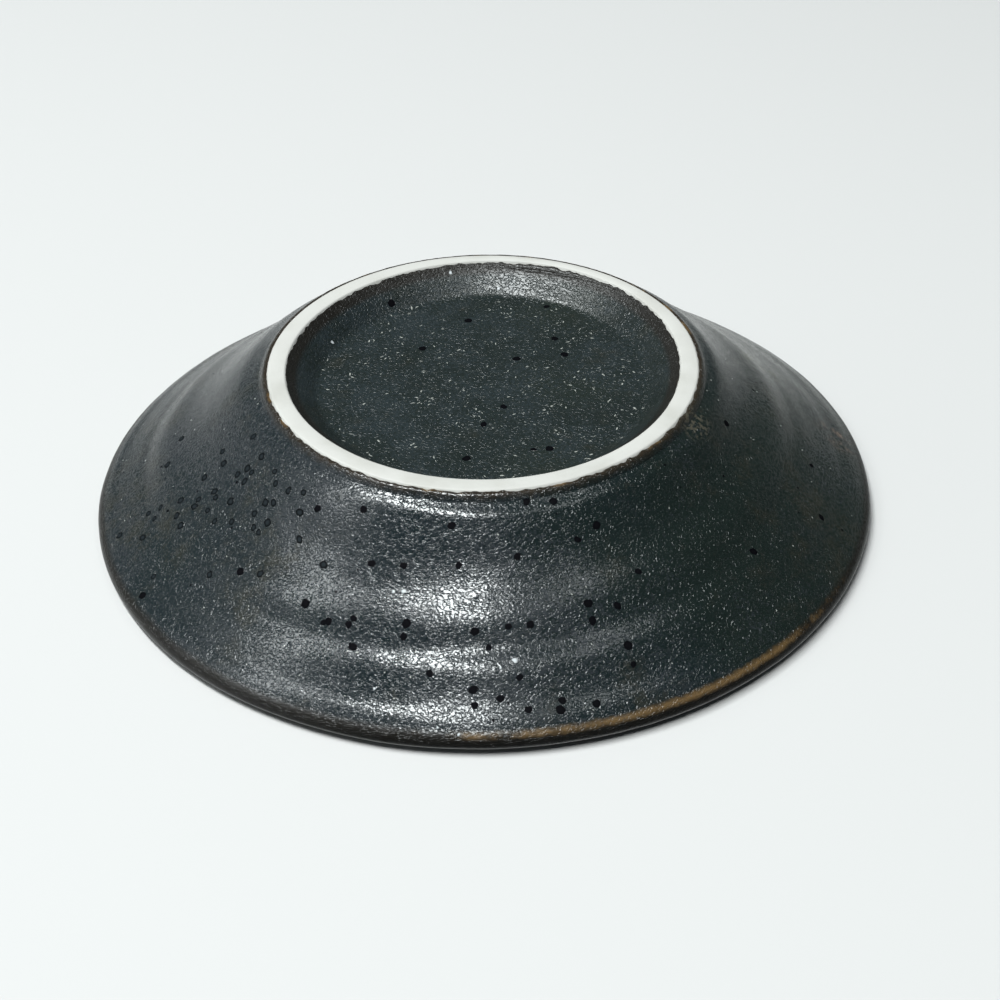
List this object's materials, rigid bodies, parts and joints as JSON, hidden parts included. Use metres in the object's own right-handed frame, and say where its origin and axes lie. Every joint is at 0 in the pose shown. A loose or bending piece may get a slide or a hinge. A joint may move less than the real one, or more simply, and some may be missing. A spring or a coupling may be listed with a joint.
{
  "type": "soy sauce dish",
  "caption": "Small round flared sauce dish of white clay with throwing ridges, a trimmed foot ring and a dark satin glaze, stored upside down.",
  "frame": {"origin": "on the dish's axis, in the plane that the lip touches when the dish lies upside down", "axes": "+Z along the dish's axis, from the lip to the foot ring, which faces up; turn the part 180 degrees about X to set it the right way up on its foot"},
  "size_m": [0.1, 0.1, 0.0204],
  "materials": {
    "fired_clay": "matte",
    "dark_glaze": "satin"
  },
  "bodies": {
    "root": {"clay_body": "fired_clay", "wall_glaze": "dark_glaze", "recess_glaze": "dark_glaze"}
  },
  "joints": []
}
